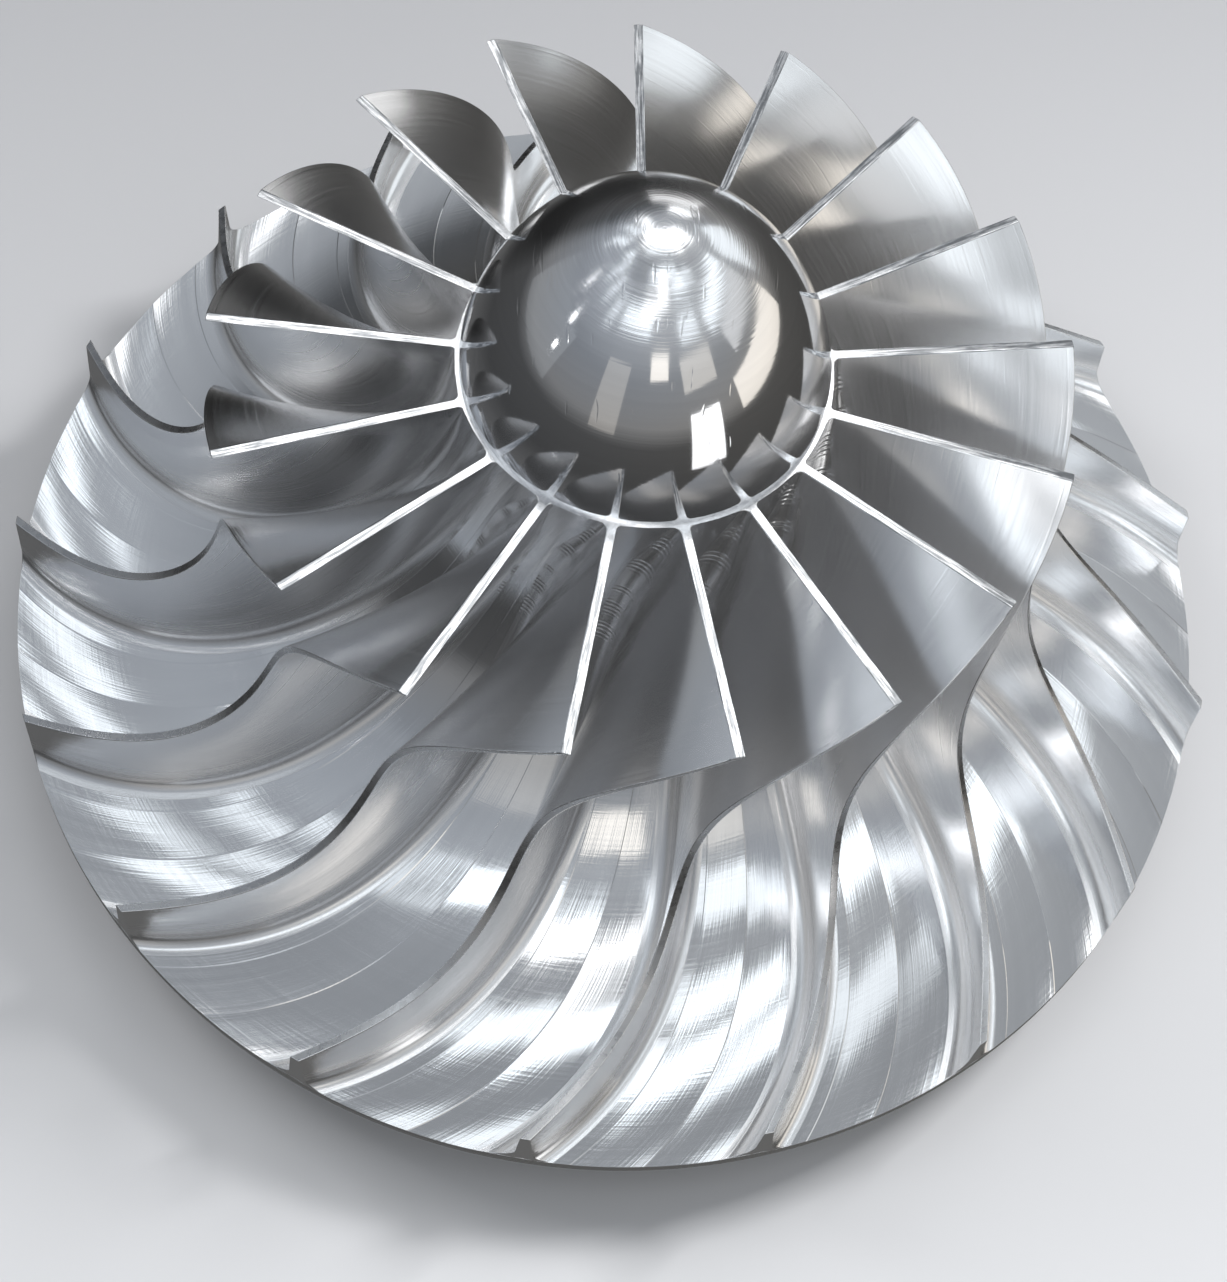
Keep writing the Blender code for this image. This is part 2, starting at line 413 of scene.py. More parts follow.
CUT_EDGE, tree, shader = new_finish("cut edge")
where = object_place(tree)
grain = streaks(tree, where, CUT_GRAIN)
apart = add_node(tree, "ShaderNodeSeparateXYZ", {"Vector": where})
reach = add_node(tree, "ShaderNodeVectorMath", {0: where}, operation="LENGTH").outputs["Value"]
turn = maths(tree, "ARCTAN2", apart.outputs["Y"], apart.outputs["X"])
outwards = add_node(tree, "ShaderNodeCombineXYZ", {"X": reach, "Y": times(tree, turn, DASH_RADIUS)})
dashes = ranged(tree, streaks(tree, outwards.outputs[0], DASH_CELLS, detail=2), *DASH_LIMITS, 1, 0)
on_strip = times(tree, ranged(tree, reach, *DASHES_FROM), ranged(tree, apart.outputs["Z"], *INLET_FADE))
set_inputs(tree, shader, {
    "Base Color": tones(tree, times(tree, dashes, on_strip), BRIGHT_CUT, WORN_CUT),
    "Roughness": ranged(tree, grain, *NOISE_SPREAD, *CUT_ROUGHNESS),
    "Normal": bumped(tree, grain, CUT_GRAIN_DEPTH),
})
print("cut edge nodes:", len(tree.nodes))

# %% Turned free edge finish, whose grey tone is painted shade
FREE_GRAIN = (260, 260, 260)
FREE_GRAIN_DEPTH = 0.000006
FREE_ROUGHNESS = (0.22, 0.34)
# The free edges' grey tone is painted shade, for the dark surroundings that they mirror; only their
# roughness and grain are the turned finish.
FREE_EDGE_PAINTED_SHADE_TONES = ((0.48, 0.48, 0.485), (0.60, 0.60, 0.605))

FREE_EDGE, tree, shader = new_finish("turned free edge")
grain = streaks(tree, object_place(tree), FREE_GRAIN, detail=2)
set_inputs(tree, shader, {
    "Base Color": tones(tree, grain, *FREE_EDGE_PAINTED_SHADE_TONES),
    "Roughness": ranged(tree, grain, *NOISE_SPREAD, *FREE_ROUGHNESS),
    "Normal": bumped(tree, grain, FREE_GRAIN_DEPTH),
})
print("free edge nodes:", len(tree.nodes))

# %% [markdown]
# ## Turned back and polished nose
#
# A lathe leaves rings. Height less radius grows steadily along any turned outline, so one number
# places a ring on every turned piece, and noise along that number alone gives rings of uneven
# depth. The back keeps them. On the nose they are polished nearly away and stay deepest round the
# tip, where the tool slowed down.

# %% Places on a turned piece
def axis_distance(tree, where):
    """How far a place is from the axis."""
    flat = add_node(tree, "ShaderNodeVectorMath", {0: where, 1: (1, 1, 0)}, operation="MULTIPLY")
    return add_node(tree, "ShaderNodeVectorMath", {0: flat.outputs[0]}, operation="LENGTH").outputs["Value"]


def ring_place(tree, where, radius, origin=0.0):
    """Height over an origin, less radius: the same all round one ring."""
    height = add_node(tree, "ShaderNodeSeparateXYZ", {"Vector": where}).outputs["Z"]
    return maths(tree, "SUBTRACT", maths(tree, "SUBTRACT", height, origin), radius)


def rings(tree, place, per_metre, detail=2):
    """Noise that changes only from ring to ring."""
    noise = {"W": times(tree, place, per_metre), "Scale": 1.0, "Detail": detail}
    return add_node(tree, "ShaderNodeTexNoise", noise, noise_dimensions="1D").outputs["Fac"]


def round_the_axis(tree):
    """The direction along a ring, which the anisotropy follows."""
    return add_node(tree, "ShaderNodeTangent", direction_type="RADIAL", axis="Z").outputs[0]


# %% Turned back finish
FINE_RINGS = 900                # per metre
SOFT_RINGS = 120
RING_DEPTH = 0.00003
BACK_TONES = ((0.60, 0.595, 0.59), (0.72, 0.72, 0.72))
BACK_ROUGHNESS = (0.22, 0.36)
BACK_ANISOTROPY = 0.5
QUARTER_TURN = 0.25

TURNED_BACK, tree, shader = new_finish("turned back")
where = object_place(tree)
place = ring_place(tree, where, axis_distance(tree, where))
turned = rings(tree, place, FINE_RINGS)
set_inputs(tree, shader, {
    "Base Color": tones(tree, rings(tree, place, SOFT_RINGS, detail=3), *BACK_TONES),
    "Roughness": ranged(tree, turned, *NOISE_SPREAD, *BACK_ROUGHNESS),
    "Normal": bumped(tree, turned, RING_DEPTH),
    "Anisotropic": BACK_ANISOTROPY,
    "Anisotropic Rotation": QUARTER_TURN,
    "Tangent": round_the_axis(tree),
})
print("turned back nodes:", len(tree.nodes))

# %% Polished nose finish
COARSE_RINGS = 260              # per metre
TIP_FADE = (0.030, 0.041)       # radius over which the rings are polished away
POLISHED_AWAY = 0.14
DEEP_RINGS = (0.05, 0.5)        # how deep the rings are where the roughness grows
NICK_CELLS = (420, 60, 90)
NICK_LIMITS = (0.74, 0.80)
NOSE_TONES = ((0.84, 0.845, 0.86), (0.93, 0.935, 0.95))
NOSE_ROUGHNESS = (0.055, 0.20)
NOSE_ANISOTROPY = 0.3

POLISHED_NOSE, tree, shader = new_finish("polished nose")
where = object_place(tree)
radius = axis_distance(tree, where)
place = ring_place(tree, where, radius, INLET_TOP)
fine = rings(tree, place, FINE_RINGS)
coarse = rings(tree, place, COARSE_RINGS)
near_tip = ranged(tree, radius, *TIP_FADE, 1.0, POLISHED_AWAY)
nicks = ranged(tree, streaks(tree, where, NICK_CELLS, detail=0), *NICK_LIMITS)
relief = maths(tree, "SUBTRACT", times(tree, plus(tree, fine, coarse), near_tip), nicks)
set_inputs(tree, shader, {
    "Base Color": tones(tree, coarse, *NOSE_TONES),
    "Roughness": ranged(tree, times(tree, fine, near_tip), *DEEP_RINGS, *NOSE_ROUGHNESS),
    "Normal": bumped(tree, relief, RING_DEPTH),
    "Anisotropic": NOSE_ANISOTROPY,
    "Anisotropic Rotation": QUARTER_TURN,
    "Tangent": round_the_axis(tree),
})
print("polished nose nodes:", len(tree.nodes))

# %% [markdown]
# ## Passage floors
#
# A ball cutter clears each passage in a few wide strips that run beside the blades, and where two
# strips meet it leaves a low step. The floor could be spun, but then no line would follow the
# blades. A flat grid is better: one direction is the share of a turn and the other the share of the
# passage. Its columns sit on the blend lines, the strips are dished a little while it is flat, and
# it is then rolled onto the wheel, where its two sides are merged.

# %% Floor columns
BLEND_LINES = (0.155, 0.49, 0.80)      # shares of the pitch, clockwise from a blade
STRIP_SHAPES = (                       # height at the start and at the end, and the dish between
    (0.90e-3, 0.60e-3, 0.0),
    (0.50e-3, -0.20e-3, 0.34e-3),
    (0.05e-3, -0.10e-3, 0.24e-3),
    (0.10e-3, 0.40e-3, 0.08e-3),
)
STEP_WIDTH = 0.007                     # share of the pitch
COLUMNS_BETWEEN = (5, 11, 8, 6)        # in each strip
FLOOR_STATIONS = 112


def passage_columns():
    """Shares of the pitch at which the floor has a column, with two close columns at each blend line."""
    ends = [0.0]
    for line in BLEND_LINES:
        ends += [line - STEP_WIDTH / 2, line + STEP_WIDTH / 2]
    ends.append(1.0)
    columns = []
    for strip, count in enumerate(COLUMNS_BETWEEN):
        start, stop = ends[2 * strip], ends[2 * strip + 1]
        columns += [start + (stop - start) * k / count for k in range(count)] + [stop]
    return columns[:-1]


def floor_relief(share):
    """Height of the dished strips over the flow surface, at a share of the pitch."""
    ends = (0.0, *BLEND_LINES, 1.0)
    strip = sum(share > line for line in BLEND_LINES)
    across = (share - ends[strip]) / (ends[strip + 1] - ends[strip])
    first, last, dish = STRIP_SHAPES[strip]
    return first + (last - first) * across - 4 * dish * across * (1 - across)


COLUMNS = passage_columns()
print("columns in a passage:", len(COLUMNS))

# %% [markdown]
# The grid's own UV map is laid while it is flat. Across, it counts the pitch in metres as it is at
# the rim, and along, it counts metres from the inlet, so the milling marks of the finish run beside
# the blades and get finer towards the hub, as the tool's paths do.

# %% Roll the floor onto the wheel
RIM_PITCH = PITCH * OUTER_RADIUS
SAME_COLUMN = 1e-4
FLOOR_END = 1e-6

floor = bmesh.new()
bmesh.ops.create_grid(floor, x_segments=BLADE_COUNT * len(COLUMNS), y_segments=FLOOR_STATIONS, size=0.5)
laid = floor.loops.layers.uv.new("milling")
for vert in floor.verts:
    column = round((vert.co.x + 0.5) * BLADE_COUNT * len(COLUMNS))
    passage, place = divmod(column, len(COLUMNS))
    vert.co.x = passage + COLUMNS[place]
    vert.co.y = vert.co.y + 0.5
for face in floor.faces:
    for loop in face.loops:
        loop[laid].uv = (loop.vert.co.x * RIM_PITCH, loop.vert.co.y * HUB_LENGTH)
line_places = [line + side * STEP_WIDTH / 2 for line in BLEND_LINES for side in (-1, 1)]
for edge in floor.edges:
    first, second = edge.verts
    on_line = min(abs(first.co.x % 1 - place) for place in line_places) < SAME_COLUMN
    edge.smooth = not (on_line and abs(first.co.x - second.co.x) < SAME_COLUMN)
inlet_edges = [edge for edge in floor.edges if all(vert.co.y < FLOOR_END for vert in edge.verts)]
rim_edges = [edge for edge in floor.edges if all(vert.co.y > 1 - FLOOR_END for vert in edge.verts)]
for vert in floor.verts:
    turn_share, share = vert.co.x, vert.co.y
    place, along = on_curve(HUB_CURVE, share), along_curve(HUB_CURVE, share)
    place += Vector((-along.y, along.x)) * floor_relief(turn_share % 1) * place.x / OUTER_RADIUS
    angle = FIRST_BLADE_ANGLE + wrap(share, ROOT_WRAP) - turn_share * PITCH
    vert.co = on_wheel(min(place.x, OUTER_RADIUS), angle, place.y)
print("floor faces:", len(floor.faces))

# %% [markdown]
# ## Rim, back and nose seat
#
# The floor's two open edges are now drawn out ring by ring, as on a lathe: outwards over the rim
# and in across the back to the middle, and from the inlet inwards under the nose. Each ring is an
# extrusion of the last one, set to its radius and height. The last ring of each is drawn to a point
# and merged.

# %% Close the body
RIM_THICKNESS = 0.005
RIM_BREAK = 0.0004
RIM_UNDERSIDE = EXIT_FLOOR - RIM_THICKNESS
HUB_FOOT = 0.0180
BACK_RINGS = (                         # radius and height, from the rim's broken corner to the axis
    (OUTER_RADIUS, RIM_UNDERSIDE + RIM_BREAK), (OUTER_RADIUS - RIM_BREAK, RIM_UNDERSIDE),
    (0.2300, 0.0323), (0.2000, 0.0303), (0.1700, 0.0283), (0.1503, 0.0270), (0.1200, 0.0231),
    (0.0860, 0.0187), (0.0800, HUB_FOOT), (0.0300, HUB_FOOT), (0.0, HUB_FOOT),
)
SEAT_RINGS = ((0.0640, INLET_TOP), (0.0300, INLET_TOP), (0.0, INLET_TOP))
NEARLY_A_POINT = 1e-7
MERGE_DISTANCE = 2e-6


def made_by(result, kind):
    """The vertices or the edges among what an operator made."""
    return [item for item in result["geom"] if isinstance(item, kind)]


def open_edges(shape):
    """How many edges of a shape haven't a face on both sides."""
    return sum(not edge.is_manifold for edge in shape.edges)


def draw_out(shape, edges, rings):
    """Extrudes a round open edge through rings of (radius, height)."""
    for radius, height in rings:
        made = bmesh.ops.extrude_edge_only(shape, edges=edges)
        ring = set(made_by(made, bmesh.types.BMVert))
        for vert in ring:
            vert.co = Vector((*(vert.co.xy.normalized() * max(radius, NEARLY_A_POINT)), height))
        edges = [edge for edge in made_by(made, bmesh.types.BMEdge) if ring.issuperset(edge.verts)]


first_back_face = len(floor.faces)
draw_out(floor, rim_edges, BACK_RINGS)
first_seat_face = len(floor.faces)
draw_out(floor, inlet_edges, SEAT_RINGS)
floor.faces.ensure_lookup_table()
for number, face in enumerate(floor.faces):
    face.material_index = (number >= first_back_face) + (number >= first_seat_face)
bmesh.ops.remove_doubles(floor, verts=floor.verts, dist=MERGE_DISTANCE)
bmesh.ops.recalc_face_normals(floor, faces=floor.faces)
left_open = open_edges(floor)
wheel_body = finish_piece("wheel_body", floor, [MILLED_FLOOR, TURNED_BACK, CUT_EDGE],
                          ["hub", "back_disc"])
print("wheel body triangles:", 2 * len(wheel_body.data.polygons), "open edges:", left_open)

# %% [markdown]
# ## One blade, made flat
#
# A blade starts as a flat bar on an inverted T foot, because on a flat bar the fillets are simply
# two bevels. The bar is cut across for its stations and its heights, the foot is pushed out to both
# sides, and the two inside corners are bevelled to the cutter's radius. The UV map is laid while
# the bar is flat. Only then is every point carried to its place on the wheel.

# %% Flat blade
FLAT_HALF = 0.0020
FLAT_HEIGHT = 0.060
FOOT_SINK = 0.0006                  # how far the foot reaches into the floor
TOE_STEP = 0.00015                  # how far the foot's top stands over it
FOOT_MARGIN = 0.0003                # how much wider than its fillet the foot is
FILLETS = (0.0050, 0.0080)          # counter-clockwise side, clockwise side
FOOT_ZONE = 0.0095                  # height that the fillets shape
FILLET_SEGMENTS = 7
BLADE_STATIONS = 72
BLADE_SPANS = 9
ON_CORNER = 1e-7


def flat_blade():
    """A bar of length 1 along X on a T foot with filleted corners."""
    bar = bmesh.new()
    bmesh.ops.create_cube(bar, size=1)
    bmesh.ops.scale(bar, verts=bar.verts, vec=(1, 2 * FLAT_HALF, FLAT_HEIGHT + FOOT_SINK))
    bmesh.ops.translate(bar, verts=bar.verts, vec=(0.5, 0, (FLAT_HEIGHT - FOOT_SINK) / 2))
    spans = [FOOT_ZONE + (FLAT_HEIGHT - FOOT_ZONE) * k / BLADE_SPANS for k in range(BLADE_SPANS)]
    for height in [TOE_STEP] + spans:
        bmesh.ops.bisect_plane(bar, geom=bar.verts[:] + bar.edges[:] + bar.faces[:],
                               plane_co=(0, 0, height), plane_no=(0, 0, 1))
    for side, radius in zip((1, -1), FILLETS):
        foot = [face for face in bar.faces
                if face.normal.y * side > 0.9 and face.calc_center_median().z < TOE_STEP]
        pushed = bmesh.ops.extrude_discrete_faces(bar, faces=foot)["faces"]
        corner = [vert for face in pushed for vert in face.verts]
        bmesh.ops.translate(bar, verts=corner, vec=(0, side * (radius + FOOT_MARGIN), 0))
    for side, radius in zip((1, -1), FILLETS):
        inside = [edge for edge in bar.edges
                  if all(abs(vert.co.y - side * FLAT_HALF) < ON_CORNER
                         and abs(vert.co.z - TOE_STEP) < ON_CORNER for vert in edge.verts)]
        bmesh.ops.bevel(bar, geom=inside, offset=radius, offset_type="OFFSET", affect="EDGES",
                        segments=FILLET_SEGMENTS, profile=0.5, material=-1, clamp_overlap=False)
    return bar


def cut_stations(bar):
    """Cuts the bar across, into steps of its length."""
    lengthwise = [edge for edge in bar.edges if abs(edge.verts[0].co.x - edge.verts[1].co.x) > 0.5]
    bmesh.ops.subdivide_edges(bar, edges=lengthwise, cuts=BLADE_STATIONS - 1, use_grid_fill=False)


blade = flat_blade()
cut_stations(blade)
print("flat blade faces:", len(blade.faces), "open edges:", open_edges(blade))

# %% [markdown]
# ## The blade on the wheel
#
# The root line lies on the hub curve and the tip line on the casing's curve, and straight lines
# join them, as a flank-milled blade has. The root's thickness is set off round the axis, and so is
# the foot's extra width, so the fillets' toes stay on the floor. The tip's thickness is set off
# square to the blade just behind the leading edge, and more and more round the axis towards the
# rim, where the lathe cut it. At the leading edge itself it is mostly round the axis again, so the
# strip that was cut there lies nearly flat and faces upwards. The fillets start small at the inlet,
# where the cutter came in.

# %% Thickness along the blade
ROOT_HALF = 0.0025
EDGE_ROOT_HALF = 0.0016
ROOT_GROWN = 0.15                   # share of the blade's length by which the root has its thickness
TIP_HALF = 0.0015
EDGE_TIP_HALF = 0.00085
TIP_GROWN = 0.25
EDGE_SQUARE = 0.25                  # how square the tip is at the leading edge itself
SQUARE_BY = 0.06


def root_half(share):
    """Half of the root's thickness, which grows over the first part of the blade."""
    return EDGE_ROOT_HALF + (ROOT_HALF - EDGE_ROOT_HALF) * min(1.0, share / ROOT_GROWN)


def tip_half(share):
    """Half of the tip's thickness, which grows too."""
    return TIP_HALF + (EDGE_TIP_HALF - TIP_HALF) * max(0.0, 1 - share / TIP_GROWN)


def edge_square(share):
    """How far the tip's thickness is set off square to the blade, and not round the axis."""
    return (1 - share) * (EDGE_SQUARE + (1 - EDGE_SQUARE) * min(1.0, share / SQUARE_BY))


print("blade's thickness at its leading edge, root and tip, in millimetres:",
      [round(2000 * half(0), 2) for half in (root_half, tip_half)])

# %% Fillets along the blade
INLET_FILLET = 0.33                 # share of a fillet's full size
FILLET_GROWN = 0.11                 # share of the blade's length by which that is reached


def fillet_size(share):
    """How much of their full radius the fillets have: they start small at the inlet and grow fast."""
    grown = min(1.0, share / FILLET_GROWN)
    return INLET_FILLET + (1 - INLET_FILLET) * grown * grown * (3 - 2 * grown)


print("fillets at the inlet, in millimetres:",
      [round(1000 * radius * fillet_size(0), 1) for radius in FILLETS])

# %% Carry the flat blade to the wheel
def side_point(curve, length, bulges, share, aside, extra, square):
    """Point at a distance aside from the blade's middle line, and extra further round the axis."""
    place = on_curve(curve, share)
    lean = slant(share, bulges, place.x, length)
    place -= along_curve(curve, share) * (aside * math.sin(lean) * square)
    round_axis = (aside * (1 - square * math.sin(lean) ** 2) + extra) / math.cos(lean)
    return on_wheel(place.x, wrap(share, bulges) + round_axis / place.x, place.y)


def blade_point(share, across, height):
    """Place on the wheel of the flat blade's point."""
    size = fillet_size(share)
    core = max(-1.0, min(1.0, across / FLAT_HALF))
    extra = (across - core * FLAT_HALF) * size
    root = side_point(HUB_CURVE, HUB_LENGTH, ROOT_WRAP, share, core * root_half(share), 0, 0)
    tip = side_point(TIP_CURVE, TIP_LENGTH, TIP_WRAP, share, core * tip_half(share), 0,
                     edge_square(share))
    span = tip - root
    if height <= FOOT_ZONE:
        rise = height * size
    else:
        above = (height - FOOT_ZONE) / (FLAT_HEIGHT - FOOT_ZONE)
        rise = FOOT_ZONE * size + (span.length - FOOT_ZONE * size) * above
    if extra:
        root = side_point(HUB_CURVE, HUB_LENGTH, ROOT_WRAP, share, core * root_half(share), extra, 0)
        place = on_curve(HUB_CURVE, share)
        lean = slant(share, ROOT_WRAP, place.x, HUB_LENGTH)
        round_axis = (core * root_half(share) + extra) / math.cos(lean)
        under = floor_relief(-round_axis / (place.x * PITCH) % 1) * place.x / OUTER_RADIUS
        rise += under * max(0.0, 1 - height / FOOT_ZONE)
    return root + span.normalized() * rise


laid = blade.loops.layers.uv.new("milling")
flat_height = blade.verts.layers.float.new("flat height")
for face in blade.faces:
    for loop in face.loops:
        flat = loop.vert.co
        loop[laid].uv = (flat.z + abs(flat.y), flat.x * HUB_LENGTH)
for vert in blade.verts:
    vert[flat_height] = vert.co.z
    vert.co = blade_point(*vert.co)
print("blade's leading edge, root to tip:",
      [tuple(round(c, 4) for c in blade_point(0, 0, height)) for height in (0, FLAT_HEIGHT)])

# %% [markdown]
# The strips at the leading edge and the trailing edge were cut by the mill and the free edge by the
# lathe, so their faces get the numbers of those two finishes. Their corners are broken by a bevel
# of a third of a millimetre, which catches the light as a thin line. The bevel's new faces take the
# cut edge's number.

# %% Edges of the blade
FACE, CUT, TURNED = 0, 1, 2
EDGE_BREAK = 0.00036
BREAK_SEGMENTS = 3
CORNER_ANGLE = 1.0                  # radians; an edge with more turn than this is a corner
ABOVE_TOE = TOE_STEP * 1.01
AT_FREE_EDGE = FLAT_HEIGHT - 1e-6


def lower_end(part):
    """The lowest height that an edge or a face had on the flat blade."""
    return min(vert[flat_height] for vert in part.verts)


bmesh.ops.recalc_face_normals(blade, faces=blade.faces)
for face in blade.faces:
    if lower_end(face) > AT_FREE_EDGE:
        face.material_index = TURNED
    elif len({round(loop[laid].uv.y, 6) for loop in face.loops}) == 1:
        face.material_index = CUT
beside_strips = [edge for edge in blade.edges if lower_end(edge) > ABOVE_TOE
                 and {face.material_index for face in edge.link_faces} in ({FACE, CUT}, {FACE, TURNED})]
free_corners = [edge for edge in blade.edges if lower_end(edge) > AT_FREE_EDGE
                and edge.calc_face_angle(0) > CORNER_ANGLE and edge not in set(beside_strips)]
bmesh.ops.bevel(blade, geom=beside_strips + free_corners, offset=EDGE_BREAK, offset_type="OFFSET",
                affect="EDGES", segments=BREAK_SEGMENTS, profile=0.5, material=CUT, clamp_overlap=False)
print("blade triangles:", sum(len(face.verts) - 2 for face in blade.faces))

# %% [markdown]
# The mill cuts one passage after the other with the same moves, and turns the wheel by a pitch
# between them. So every blade is a copy of the first, turned inside its bmesh, which leaves its
# object unturned. The broken edges' narrow faces would tilt the smooth shading of the wide faces
# beside them. A modifier that weighs each face by its area keeps the wide ones looking flat up to
# the edge.

# %% All seventeen
BLADE_SHARP_ANGLE = 40

left_open = open_edges(blade)
for number in range(BLADE_COUNT):
    turned = blade.copy()
    bmesh.ops.rotate(turned, verts=turned.verts, cent=(0, 0, 0),
                     matrix=Matrix.Rotation(FIRST_BLADE_ANGLE - number * PITCH, 3, "Z"))
    name = f"blade_{number + 1:02d}"
    piece = finish_piece(name + "_milled", turned, [MILLED_BLADE, CUT_EDGE, FREE_EDGE],
                         [name], BLADE_SHARP_ANGLE)
    shading = piece.modifiers.new("flat faces up to the broken edges", "WEIGHTED_NORMAL")
    shading.keep_sharp = True
blade.free()
print("blades:", BLADE_COUNT, "open edges on each:", left_open)

# %% [markdown]
# ## Nose cone
#
# The nose is a bullet turned on a lathe and polished, with a small domed cap at the tip. A spin is
# the lathe's own way to make it: the outline is one straight edge, subdivided and bent to the
# profile, and then spun once round the axis. The cap is a parabola, so that the very tip is round
# and so is its highlight.

# %% Nose profile
NOSE_SEAT = INLET_TOP + 0.0003
NOSE_UNDERSIDE = INLET_TOP - 0.0003      # a little inside the hub
NOSE_HEIGHT = 0.078
NOSE_RADIUS = 0.0657
NOSE_FULLNESS = 1.7
NOSE_SHOULDER = 0.60
CAP_RADIUS = 0.016
CAP_LIFT = 0.0007
LIFTED_BY = 0.5                          # share of the nose's height
CAP_SLOPE = 0.46                         # at the cap's edge
NOSE_STEPS = 110
NOSE_SEGMENTS = 204
NOSE_SHARP_ANGLE = 40


def nose_point(share):
    """Point of the nose's outline from its base (0) to its tip (1)."""
    height = math.sin(share * math.pi / 2)
    radius = NOSE_RADIUS * (1 - height ** NOSE_FULLNESS) ** NOSE_SHOULDER
    rise = NOSE_HEIGHT * height + CAP_LIFT * min(1.0, height / LIFTED_BY)
    if radius < CAP_RADIUS:
        cap_height = (1 - (CAP_RADIUS / NOSE_RADIUS) ** (1 / NOSE_SHOULDER)) ** (1 / NOSE_FULLNESS)
        dome = CAP_SLOPE * (CAP_RADIUS - radius ** 2 / CAP_RADIUS) / 2
        rise = NOSE_HEIGHT * cap_height + CAP_LIFT + dome
    return Vector((radius, 0, NOSE_SEAT + rise))


print("nose's width and the height of its tip, in millimetres:",
      round(2000 * NOSE_RADIUS, 1), round(1000 * nose_point(1).z, 1))

# %% Spin the nose
SPIN_MERGE = 1e-6


def spin_round(shape, steps):
    """Spins an outline once round the axis into a skin that faces outwards."""
    bmesh.ops.spin(shape, geom=shape.verts[:] + shape.edges[:], cent=(0, 0, 0), axis=(0, 0, 1),
                   angle=math.tau, steps=steps, use_merge=True)
    bmesh.ops.remove_doubles(shape, verts=shape.verts, dist=SPIN_MERGE)
    bmesh.ops.recalc_face_normals(shape, faces=shape.faces)


nose = bmesh.new()
outline = nose.edges.new([nose.verts.new((0, 0, 0)), nose.verts.new((0, 0, 1))])
bmesh.ops.subdivide_edges(nose, edges=[outline], cuts=NOSE_STEPS - 1)
for vert in nose.verts:
    vert.co = nose_point(vert.co.z)
base = min(nose.verts, key=lambda vert: vert.co.z)
for radius in (NOSE_RADIUS, 0.0):
    base = bmesh.ops.extrude_vert_indiv(nose, verts=[base])["verts"][0]
    base.co = Vector((radius, 0, NOSE_UNDERSIDE))
spin_round(nose, NOSE_SEGMENTS)
left_open = open_edges(nose)
nose_piece = finish_piece("nose_polished", nose, [POLISHED_NOSE], ["nose_cone"],
                          NOSE_SHARP_ANGLE)
print("nose faces:", len(nose_piece.data.polygons), "open edges:", left_open)

# %% [markdown]
# ## Rear boss
#
# The wheel stands on a turned ring round its spigot socket. A tube could be made of two cylinders,
# but a closed outline of four corners that is spun gives a clean ring at once. Its corners are
# broken with a bevel.

# %% Rear boss ring
BOSS_RADIUS = 0.080
SOCKET_RADIUS = 0.030
BOSS_TOP = 0.0182
BOSS_SEGMENTS = 136
BOSS_EDGE_BREAK = 0.0008
BOSS_BREAK_SEGMENTS = 2

boss = bmesh.new()
corners = [boss.verts.new((radius, 0, height)) for radius, height in
           ((SOCKET_RADIUS, 0), (BOSS_RADIUS, 0), (BOSS_RADIUS, BOSS_TOP), (SOCKET_RADIUS, BOSS_TOP))]
for start, stop in zip(corners, corners[1:] + corners[:1]):
    boss.edges.new((start, stop))
spin_round(boss, BOSS_SEGMENTS)
corner_edges = [edge for edge in boss.edges if edge.calc_face_angle(0) > CORNER_ANGLE]
bmesh.ops.bevel(boss, geom=corner_edges, offset=BOSS_EDGE_BREAK, offset_type="OFFSET", affect="EDGES",
                segments=BOSS_BREAK_SEGMENTS, profile=0.5, material=-1)
boss_piece = finish_piece("rear_boss_turned", boss, [TURNED_BACK], ["rear_boss"])
print("boss faces:", len(boss_piece.data.polygons))

# %% [markdown]
# ## Floor and light
#
# The studio is a pale sweep under plain soft light. Its colour darkens a little towards the rear,
# and that is painted shade, for the light that falls off away from the windows. It is kept out of
# the mirrors, because the wheel would otherwise reflect a white floor from every blade and lose its
# dark tones.

# %% Studio
SWEEP_SIZE = 6
# The darker rear colour and its fade are painted shade, for light that falls off towards the rear.
SWEEP_REAR_PAINTED_SHADE = (0.26, 0.26, 0.27)
SWEEP_FRONT = (0.64, 0.64, 0.65)
SWEEP_PAINTED_SHADE_FADE = (-0.35, 0.55)              # from the front to the rear
SWEEP_ROUGHNESS = 0.8

stage = bmesh.new()
bmesh.ops.create_grid(stage, x_segments=1, y_segments=1, size=SWEEP_SIZE)
stage_mesh = bpy.data.meshes.new("studio_floor")
stage.to_mesh(stage_mesh)
stage.free()
stage_floor = bpy.data.objects.new("studio_floor", stage_mesh)
bpy.context.scene.collection.objects.link(stage_floor)
stage_floor.visible_glossy = False

pale = bpy.data.materials.new("pale sweep")
pale.use_nodes = True
tree, shader = pale.node_tree, pale.node_tree.nodes["Principled BSDF"]
apart = add_node(tree, "ShaderNodeSeparateXYZ", {"Vector": object_place(tree)})
# Painted shade: the sweep's colour is darker towards the rear.
painted_front_light = ranged(tree, apart.outputs["Y"], *SWEEP_PAINTED_SHADE_FADE, 1, 0)
set_inputs(tree, shader, {"Base Color": tones(tree, painted_front_light, SWEEP_REAR_PAINTED_SHADE, SWEEP_FRONT),
                          "Roughness": SWEEP_ROUGHNESS})
stage_mesh.materials.append(pale)
print("sweep:", 2 * SWEEP_SIZE, "metres wide")

# %% [markdown]
# The world fills the shadows: it is dim below the horizon and lightest at a slant above it. Its
# left side is slate and its right side warm, so that the two sides of every blade differ in tone as
# they do in a room. Behind the wheel it darkens to a wall, which the blades' broad faces mirror as
# their darkest tone.

